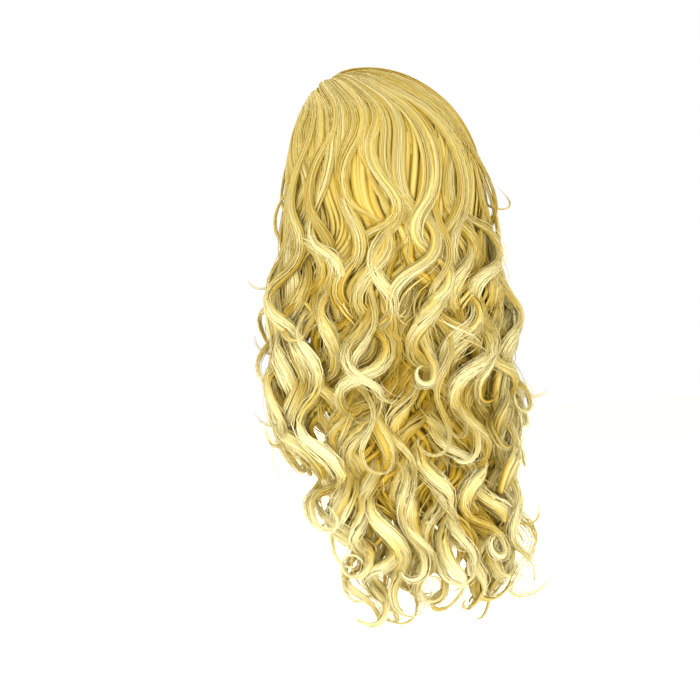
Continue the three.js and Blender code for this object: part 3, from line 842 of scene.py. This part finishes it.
def place_wisps(weft_name, kind, got):
    """Pieces of a weft's wisps, thinner on the head and at the tips."""
    wisp = {key: value.reshape(-1, len(COLUMNS), *value.shape[1:]) for key, value in got.items()}
    fall, left = wisp["fall"][:, 0], np.clip(wisp["left"][:, 0], 0, 1)
    deep = hair().wisp_depth * (0.4 + 0.6 * smoothstep(*THICKENING, fall)) * (0.1 + 0.9 * left**0.6)
    rings = ribbons(wisp["path"], wisp["facing"], deep)
    across = WISP_GIRTH * (COLUMNS + 1)
    girth = np.concatenate([across, across[-2::-1]])
    place_hair(weft_name, kind, rings, fall, around(wisp["tone"]), wisp["mark"][:, 0], girth)


def place_strands(weft_name, kind, got, wide):
    """Pieces of a weft's round strands, three-sided and as wide as they are deep."""
    rings = tubes(got["path"], got["facing"], wide, wide, STRAND_SIDES)
    tone = np.repeat(got["tone"][..., None], STRAND_SIDES, axis=-1)
    girth = np.linspace(0, STRAND_GIRTH, STRAND_SIDES + 1)
    place_hair(weft_name, kind, rings, got["fall"], tone, got["mark"], girth)


def fill(tree, node, inputs):
    """Fill inputs of a node, each with a value, or joined to the socket that is given."""
    for key, value in inputs.items():
        if isinstance(value, bpy.types.NodeSocket):
            tree.links.new(value, node.inputs[key])
        else:
            node.inputs[key].default_value = value


def add_node(tree, kind, inputs=None, **settings):
    """New shader node with the given settings and filled inputs."""
    node = tree.nodes.new("ShaderNode" + kind)
    for key, value in settings.items():
        setattr(node, key, value)
    fill(tree, node, inputs or {})
    return node


def math_node(tree, operation, *values):
    """Math node whose inputs are the given sockets and numbers; gives its output."""
    return add_node(tree, "Math", dict(enumerate(values)), operation=operation).outputs[0]


def colour_mix(tree, factor, first, second):
    """Mix of two colours, each a socket or four numbers, by a factor's socket; gives its output."""
    inputs = {"Factor": factor, "A": first, "B": second}
    return add_node(tree, "Mix", inputs, data_type="RGBA").outputs["Result"]


def colour_ramp(tree, factor, places, shades):
    """Ramp through colours at rising places, by a factor's socket; gives its output."""
    node = add_node(tree, "ValToRGB", {0: factor})
    elements = node.color_ramp.elements
    elements[0].position = places[0]
    elements[1].position = places[-1]
    for place in places[1:-1]:
        elements.new(place)
    for element, shade in zip(elements, shades):
        element.color = shade
    return node.outputs[0]


def opaque(colour, strength=1):
    """Colour of four numbers, with red, green and blue multiplied by a strength."""
    return (*(strength * value for value in colour), 1)


def new_material(name):
    """New material, with its node tree and its shader."""
    material = bpy.data.materials.new(name)
    material.use_nodes = True
    return material, material.node_tree, material.node_tree.nodes["Principled BSDF"]


def streak_group():
    """Node group of hair streaks: noise stretched along the fall, in a broad and a fine layer."""
    name = "Hair Streaks"
    if name in bpy.data.node_groups:
        return bpy.data.node_groups[name]
    group = bpy.data.node_groups.new(name, "ShaderNodeTree")
    group.interface.new_socket("Vector", in_out="INPUT", socket_type="NodeSocketVector")
    group.interface.new_socket("Streak", in_out="OUTPUT", socket_type="NodeSocketFloat")
    group.interface.new_socket("Height", in_out="OUTPUT", socket_type="NodeSocketFloat")
    came = group.nodes.new("NodeGroupInput")
    gone = group.nodes.new("NodeGroupOutput")
    layers = []
    for scale in STREAK_SCALES:
        stretch = add_node(group, "VectorMath", {0: came.outputs["Vector"], 1: scale}, operation="MULTIPLY")
        inputs = {"Vector": stretch.outputs[0], "Scale": 1, "Detail": 2, "Roughness": 0.6}
        layers.append(add_node(group, "TexNoise", inputs, noise_dimensions="2D").outputs[0])
    broad, fine = layers
    blend = add_node(group, "Mix", {0: 0.5, 2: broad, 3: fine})
    fill(group, gone, {"Streak": blend.outputs[0], "Height": fine})
    return group


def hair_material(slot):
    """Satin hair of a slot, made once: deep to pale gold by streak, tone and distance to the tip.

    The colour's place in its ramp is streak and tone, each times its weight, plus the lift to the tip. The
    tone holds each strand's own tone together with painted shade and painted sheen.
    The fine streaks are also grooves along the fall.
    """
    name = slot + "_gold"
    if name in bpy.data.materials:
        return bpy.data.materials[name]
    first, last, root_lift, tip_lift = HAIR_LIFTS[slot]
    material, tree, shader = new_material(name)
    mapped = add_node(tree, "UVMap", uv_map="strand").outputs[0]
    streaks = add_node(tree, "Group", {"Vector": mapped}, node_tree=streak_group())
    tone = add_node(tree, "Attribute", attribute_name="tone").outputs["Fac"]
    fall = add_node(tree, "SeparateXYZ", {0: mapped}).outputs[1]
    span = {0: fall, "From Min": first, "From Max": last, "To Min": root_lift, "To Max": tip_lift}
    tipped = add_node(tree, "MapRange", span).outputs[0]
    streaked = math_node(tree, "MULTIPLY_ADD", streaks.outputs["Streak"], STREAK_WEIGHT, tipped)
    varied = math_node(tree, "MULTIPLY_ADD", tone, TONE_AND_PAINTED_LIGHT_WEIGHT, streaked)
    c = colours()
    shades = [opaque(colour) for colour in (c.shade, c.deep, c.gold, c.pale)]
    grooves = {"Strength": 0.45, "Distance": 0.0006, "Height": streaks.outputs["Height"]}
    tangent = add_node(tree, "Tangent", direction_type="UV_MAP", uv_map="strand")
    fill(tree, shader, {
        "Base Color": colour_ramp(tree, varied, RAMP_PLACES, shades),
        "Normal": add_node(tree, "Bump", grooves).outputs[0],
        "Tangent": tangent.outputs[0],
        "Roughness": 0.36,
        "Anisotropic": 0.55,
        "Specular IOR Level": 0.28,
        "Specular Tint": opaque(GLOSS_TINT),
    })
    return material


def net_material():
    """Knitted net: threads that cross in small diamonds, with rows of stitched hair and a ribbed hem.

    The place round the cap comes from the angle in plan, the place down it from an attribute, and the sewn
    rows and the hem from two more.
    """
    material, tree, shader = new_material("cap_knit")
    place = add_node(tree, "TexCoord").outputs["Object"]
    x, y, _ = add_node(tree, "SeparateXYZ", {0: place}).outputs
    down, track, hem = (
        add_node(tree, "Attribute", attribute_name=name).outputs["Fac"] for name in ("down", "track", "hem")
    )
    angle = math_node(tree, "ARCTAN2", x, math_node(tree, "SUBTRACT", y, head().lean))
    cells = math_node(tree, "MULTIPLY", angle, NET_CELLS / (2 * math.pi))
    lines = math_node(tree, "MULTIPLY", down, 1 / NET_PITCH)
    slants = [math_node(tree, kind, cells, lines) for kind in ("ADD", "SUBTRACT")]
    threads = [math_node(tree, "PINGPONG", slant, 0.5) for slant in slants]
    thread = math_node(tree, "MINIMUM", *threads)
    hole = add_node(tree, "MapRange", {0: thread, "From Min": 0.08, "From Max": 0.20}).outputs[0]
    twist = math_node(tree, "MULTIPLY_ADD", cells, 1.5, math_node(tree, "MULTIPLY", lines, 2))
    stitch = math_node(tree, "MULTIPLY", math_node(tree, "PINGPONG", twist, 0.5), 2)
    rib = math_node(tree, "PINGPONG", math_node(tree, "MULTIPLY", cells, 2), 0.5)
    ribbed = math_node(tree, "MULTIPLY", rib, 2)
    net, gold = colours().net, colours().gold
    plain = colour_mix(tree, hole, opaque(net), opaque(net, 0.35))
    sewn = colour_mix(tree, stitch, opaque(gold, 0.55), opaque(gold))
    edge = colour_mix(tree, ribbed, opaque(net, 0.6), opaque(net, 1.15))
    shown = colour_mix(tree, track, plain, sewn)
    raised = math_node(tree, "MULTIPLY", math_node(tree, "MAXIMUM", track, hem), stitch)
    height = math_node(tree, "SUBTRACT", raised, hole)
    relief = add_node(tree, "Bump", {"Strength": 0.7, "Distance": 0.0008, "Height": height})
    fill(tree, shader, {
        "Base Color": colour_mix(tree, hem, shown, edge),
        "Normal": relief.outputs[0],
        "Roughness": 0.8,
    })
    return material


def comb_material():
    """Moulded plastic: brown with faint swirls and a soft gloss."""
    material, tree, shader = new_material("comb_moulded")
    place = add_node(tree, "TexCoord").outputs["Object"]
    swirl = add_node(tree, "TexNoise", {"Vector": place, "Scale": 90, "Detail": 3}).outputs["Fac"]
    base = colours().comb
    brown = colour_ramp(tree, swirl, (0.35, 0.7), (opaque(base, 0.6), opaque(base)))
    fill(tree, shader, {"Base Color": brown, "Roughness": 0.3})
    return material


def wall_mesh(name, outer, inner):
    """Closed wall between two grids of points, column by row by xyz, whose columns run round.

    The last column joins the first, and the first row closes in a small polygon on each side.
    """
    columns, rows, _ = outer.shape
    half = columns * rows
    near = np.arange(half).reshape(columns, rows)
    far = np.roll(near, -1, axis=0)
    front = np.stack([near[:, :-1], far[:, :-1], far[:, 1:], near[:, 1:]], axis=-1).reshape(-1, 4)
    hem = np.stack([near[:, -1], far[:, -1], far[:, -1] + half, near[:, -1] + half], axis=-1)
    faces = [*front.tolist(), *(front[:, ::-1] + half).tolist(), *hem.tolist()]
    faces += [near[::-1, 0].tolist(), (near[:, 0] + half).tolist()]
    mesh = bpy.data.meshes.new(name)
    mesh.from_pydata(np.concatenate([outer.reshape(-1, 3), inner.reshape(-1, 3)]).tolist(), [], faces)
    mesh.polygons.foreach_set("use_smooth", np.ones(len(mesh.polygons), bool))
    mesh.update()
    return mesh


class WIG_OT_cap(bpy.types.Operator):
    """Build the cap: the knitted bowl over the head, with sewn rows on its inside and a rolled hem"""

    bl_idname = "wig.cap"
    bl_label = "Cap"

    def execute(self, context):
        angle = np.linspace(0, 360, CAP_COLUMNS, endpoint=False)[:, None]
        bowl = np.linspace(0.004, HEM_SHARE, CAP_ROWS * SEWN_ROWS)
        share = np.concatenate([bowl, np.linspace(HEM_SHARE + 0.01, 1.0, CAP_ROWS)])[None, :]
        hem = smoothstep(HEM_SHARE, HEM_SHARE + 0.012, share)
        roll = HEM_ROLL * np.sqrt(np.clip(1 - ((share - HEM_SHARE) / (1 - HEM_SHARE) * 2 - 1) ** 2, 0, 1))
        place = np.arange(share.shape[1]) % CAP_ROWS - CAP_ROWS // 2
        track = np.clip(1 - np.abs(place) / 1.5, 0, 1)[None, :] * (1 - hem) * (share > 0.05)
        outer = on_cap(angle, share, head().cap_wall + roll)
        inner = on_cap(angle, share, -roll - SEWN_HEIGHT * track)
        mesh = wall_mesh("cap_net", outer, inner)
        for name, value in (("down", CAP_LENGTH * share), ("track", track), ("hem", hem)):
            values = np.tile(np.broadcast_to(value, outer.shape[:2]).ravel(), 2)
            mesh.attributes.new(name, "FLOAT", "POINT").data.foreach_set("value", values.astype(np.float32))
        place_piece(mesh, net_material(), "cap_net", "cap")
        return {"FINISHED"}


class WIG_OT_comb(bpy.types.Operator):
    """Build the comb: a bent spine with round teeth that point back"""

    bl_idname = "wig.comb"
    bl_label = "Comb"

    def execute(self, context):
        h = head()
        across = np.linspace(-h.comb_half_width, h.comb_half_width, SPINE_POINTS)
        spine = over_head(across / h.half_width, np.full(SPINE_POINTS, COMB_PLACE), COMB_DEPTH)[None]
        tooth_edge = h.comb_half_width - TOOTH_ROOM
        teeth_x = np.linspace(-tooth_edge, tooth_edge, h.comb_teeth)
        along = np.linspace(*TOOTH_ENDS, TOOTH_POINTS)
        teeth = over_head(teeth_x[:, None] / h.half_width, along[None, :], COMB_DEPTH)
        material = comb_material()
        round_ends = np.sqrt(np.clip(1 - np.linspace(-1, 1, SPINE_POINTS) ** 12, 0.02, 1))[None]
        taper = np.sqrt(np.clip(1 - np.linspace(0, 1, TOOTH_POINTS) ** 6, 0.05, 1))[None]
        for name, path, section, size in (
            ("comb_spine", spine, SPINE_SECTION, round_ends),
            ("comb_teeth", teeth, TOOTH_SECTION, taper.repeat(h.comb_teeth, 0)),
        ):
            facing = np.broadcast_to(np.array(COMB_FACING), path.shape)
            rings = tubes(path, facing, section[0] * size, section[1] * size, COMB_SIDES)
            fall, tone = np.zeros(path.shape[:2]), np.zeros(rings.shape[:3])
            mesh = closed_tubes(name, rings, fall, tone, np.zeros(len(path)), np.zeros(COMB_SIDES + 1))
            place_piece(mesh, material, "comb_plastic", "front_comb")
        return {"FINISHED"}


class WIG_OT_underlay(bpy.types.Operator):
    """Build the underlay of each weft: dense hair close to the cap, in wisps that hang side by side, darkened
    as painted shade
    """

    bl_idname = "wig.underlay"
    bl_label = "Underlay"

    def execute(self, context):
        for number, (name, count, hem, place, tone, astray) in enumerate(UNDERLAYS):
            rng = np.random.default_rng(hair().seed + UNDERLAY_SEED + number)
            weft = dict(WEFTS[name], curls=count)
            curls = curls_of(weft, rng)
            curls["end"] = hem + rng.uniform(-0.03, 0.03, count)
            curls["place"] = place + rng.uniform(-0.08, 0.08, count)
            even = dict(pace=1.0, beat=0.0, drift=0.0, roll=0.0, hook_length=0.03)
            curls.update({key: np.full(count, value) for key, value in even.items()})
            curls["phase"] = astray * rng.uniform(-1, 1, count)
            curls["reach"] = 0.8 + 0.4 * astray * rng.uniform(-1, 1, count)
            pick = pick_wisps(rng, curls, 1)
            pick["edge"] *= UNDERLAY_WIDTH
            pick["hold"] = np.zeros_like(pick["hold"])
            pick["place"] = np.full_like(pick["place"], -0.3)
            got = strand_paths(weft, curls, pick, UNDERLAY_ROWS)
            # The underlay darkens from its root to its tone, painted shade of the hair deep behind the locks
            got["tone"] = tone * smoothstep(*DEEPENING, got["fall"]) + 0.6 * pick["tone"][:, None]
            place_wisps(name, "underlay", got)
        return {"FINISHED"}


class WIG_OT_locks(bpy.types.Operator):
    """Build the locks of each weft: flat wisps of hair that gather into waved curls with looped tips"""

    bl_idname = "wig.locks"
    bl_label = "Locks"

    def execute(self, context):
        s = hair()
        for number, (name, weft) in enumerate(WEFTS.items()):
            rng = np.random.default_rng(s.seed + number)
            curls = curls_of(weft, rng)
            got = strand_paths(weft, curls, pick_wisps(rng, curls, weft["wisps"]), weft["rows"])
            # The weft's tone: painted shade on the inner nape weft, painted light on the outer back weft
            got["tone"] += weft["tone"]
            place_wisps(name, "locks", got)
        return {"FINISHED"}


class WIG_OT_strands(bpy.types.Operator):
    """Build the loose strands over the locks: fine hairs that stray a little from their curl"""

    bl_idname = "wig.strands"
    bl_label = "Strands"

    def execute(self, context):
        s = hair()
        for number, (name, weft) in enumerate(WEFTS.items()):
            curls = curls_of(weft, np.random.default_rng(s.seed + number))
            rng = np.random.default_rng(s.seed + STRAND_SEED + number)
            pick = pick_strands(rng, curls, weft["strands"], 1.15, 0.0016)
            count = len(pick["curl"])
            pick["over"] = np.where(rng.random(count) < SUNK_CHANCE, -0.8, 0.6) + pick["over"]
            pick["place"] += 0.10
            free = rng.random(count) < FREE_CHANCE
            pick["hold"] = np.where(free, 0.35, 1.0) * rng.uniform(0.30, 1.0, count) ** 0.5
            pick["stray"] *= np.where(rng.random(count) < FRIZZ_CHANCE, FRIZZ, 1.0)
            # Painted shade on strands towards the edges of their lock, where the crevices between locks lie
            pick["tone"] += rng.normal(STRAND_TONE, 0.4, count) + STRAND_EDGE_PAINTED_SHADE * pick["beside"] ** 2
            got = strand_paths(weft, curls, pick, weft["rows"])
            # The weft's tone: painted shade on the inner nape weft, painted light on the outer back weft
            got["tone"] += weft["tone"]
            wide = s.strand_width * rng.uniform(0.6, 1.35, (count, 1))
            wide = wide * (0.25 + 0.75 * np.clip(got["left"], 0, 1))
            place_strands(name, "strands", got, wide)
        return {"FINISHED"}


class WIG_OT_flyaways(bpy.types.Operator):
    """Build the flyaways: thin curls that stand off the outside of the hair"""

    bl_idname = "wig.flyaways"
    bl_label = "Flyaways"

    def execute(self, context):
        s = hair()
        for number, (name, rows) in enumerate(FLYAWAYS.items()):
            weft = dict(WEFTS[name], curls=len(rows))
            rng = np.random.default_rng(s.seed + FLYAWAY_SEED + number)
            curls = curls_of(weft, rng)
            angle, end, place, radius, turn, roll, width = np.array(rows).T
            curls.update(angle=angle, even=angle, pitch=FLYAWAY_PITCH, end=end, place=place)
            curls.update(hook_radius=radius, hook_length=turn * radius)
            curls.update(roll=np.radians(roll), width=s.ribbon_width * width)
            pick = pick_strands(rng, curls, FLYAWAY_STRANDS, 1.0, 0.0006)
            pick["hold"] = np.ones_like(pick["hold"])
            pick["longer"] *= 0.5
            got = strand_paths(weft, curls, pick, FLYAWAY_ROWS)
            got["tone"] += FLYAWAY_TONE
            wide = 1.3 * s.strand_width * (0.3 + 0.7 * np.clip(got["left"], 0, 1))
            place_strands(name, "flyaways", got, wide)
        return {"FINISHED"}


class WIG_OT_stage(bpy.types.Operator):
    """Build the stage: a pale floor under the wig, soft studio lights and the camera"""

    bl_idname = "wig.stage"
    bl_label = "Stage"

    def execute(self, context):
        scene = context.scene
        scene.view_settings.view_transform = "Standard"
        world = bpy.data.worlds.new("studio")
        world.use_nodes = True
        tree = world.node_tree
        seen = add_node(tree, "LightPath").outputs["Is Camera Ray"]
        room = colour_mix(tree, seen, opaque(ROOM_LIGHT), opaque(WHITE))
        fill(tree, tree.nodes["Background"], {"Color": room})
        scene.world = world

        floor_level = CAD_BOX[0][2] - FLOOR_DROP
        mesh = bpy.data.meshes.new("floor")
        quarters = ((-1, -1), (1, -1), (1, 1), (-1, 1))
        corners = [(x * FLOOR_REACH, y * FLOOR_REACH, floor_level) for x, y in quarters]
        mesh.from_pydata(corners, [], [(0, 1, 2, 3)])
        floor = bpy.data.objects.new("floor", mesh)
        scene.collection.objects.link(floor)
        pale, tree, shader = new_material("floor_pale")
        fill(tree, shader, {
            "Base Color": (0.93, 0.93, 0.93, 1),
            "Roughness": 0.9,
            "Emission Color": opaque(WHITE),
            "Emission Strength": 0.5,
        })
        mesh.materials.append(pale)

        azimuth, elevation = math.radians(AZIMUTH), math.radians(ELEVATION)
        toward = Vector((
            math.sin(azimuth) * math.cos(elevation),
            -math.cos(azimuth) * math.cos(elevation),
            math.sin(elevation),
        ))
        rightward = Vector((math.cos(azimuth), math.sin(azimuth), 0))
        centre = Vector((0, head().lean, 0)) + rightward * (PHOTO_SIDE / 2 - HEAD_COLUMN) * PIXEL_SIZE
        centre.z = TOP_LEVEL - (PHOTO_SIDE / 2 - TOP_ROW) * PIXEL_SIZE
        camera = bpy.data.cameras.new("camera")
        camera.sensor_width = SENSOR_WIDTH
        camera.lens = SENSOR_WIDTH * DISTANCE / (PHOTO_SIDE * PIXEL_SIZE)
        camera.clip_end = 50
        eye = bpy.data.objects.new("camera", camera)
        eye.location = centre + toward * DISTANCE
        eye.rotation_euler = (-toward).to_track_quat("-Z", "Y").to_euler()
        scene.collection.objects.link(eye)
        scene.camera = eye

        up = Vector((0, 0, 1))
        for name, where, size, power, colour in (
            ("key", toward * 1.5 - rightward * 0.9 + up * 1.3, 0.9, 20, WHITE),
            ("fill", toward * 1.4 + rightward * 1.5 - up * 0.1, 1.2, 14, WHITE),
            ("top", up * 1.6 - toward * 0.8, 1.2, 18, WHITE),
            ("front", toward * 1.9 - up * 0.6, 1.2, 40, (0.95, 0.86, 0.55)),
        ):
            light = bpy.data.lights.new(name, "AREA")
            light.size = size
            light.energy = power
            light.color = colour
            lamp = bpy.data.objects.new(name, light)
            lamp.location = centre + where
            lamp.rotation_euler = (-where).to_track_quat("-Z", "Y").to_euler()
            scene.collection.objects.link(lamp)
        return {"FINISHED"}


class WIG_PT_panel(bpy.types.Panel):
    """Lists the wig's sizes, colours and pieces"""

    bl_idname = "WIG_PT_panel"
    bl_label = "Half Wig"
    bl_space_type = "VIEW_3D"
    bl_region_type = "UI"
    bl_category = "Half Wig"

    def draw(self, context):
        for operator in OPERATORS:
            self.layout.operator(operator.bl_idname)
        for group in (head(), hair(), colours()):
            for key in group.bl_rna.properties.keys():
                if key not in {"rna_type", "name"}:
                    self.layout.prop(group, key)


GROUPS = (HeadSizes, HairSizes, WigColours)
OPERATORS = (
    WIG_OT_stage, WIG_OT_cap, WIG_OT_comb, WIG_OT_underlay, WIG_OT_locks, WIG_OT_strands, WIG_OT_flyaways,
)
CLASSES = (*GROUPS, *OPERATORS, WIG_PT_panel)


def register():
    """Add the classes and the scene's groups of properties to Blender."""
    for cls in CLASSES:
        bpy.utils.register_class(cls)
    bpy.types.Scene.wig_head = PointerProperty(type=HeadSizes)
    bpy.types.Scene.wig_hair = PointerProperty(type=HairSizes)
    bpy.types.Scene.wig_colours = PointerProperty(type=WigColours)


def unregister():
    """Take the groups of properties and the classes out of Blender."""
    del bpy.types.Scene.wig_head
    del bpy.types.Scene.wig_hair
    del bpy.types.Scene.wig_colours
    for cls in reversed(CLASSES):
        bpy.utils.unregister_class(cls)


def main():
    """Build the stage and all pieces."""
    register()
    bpy.ops.wig.stage()
    bpy.ops.wig.cap()
    bpy.ops.wig.comb()
    bpy.ops.wig.underlay()
    bpy.ops.wig.locks()
    bpy.ops.wig.strands()
    bpy.ops.wig.flyaways()
    bpy.context.view_layer.update()


if __name__ == "__main__":
    main()
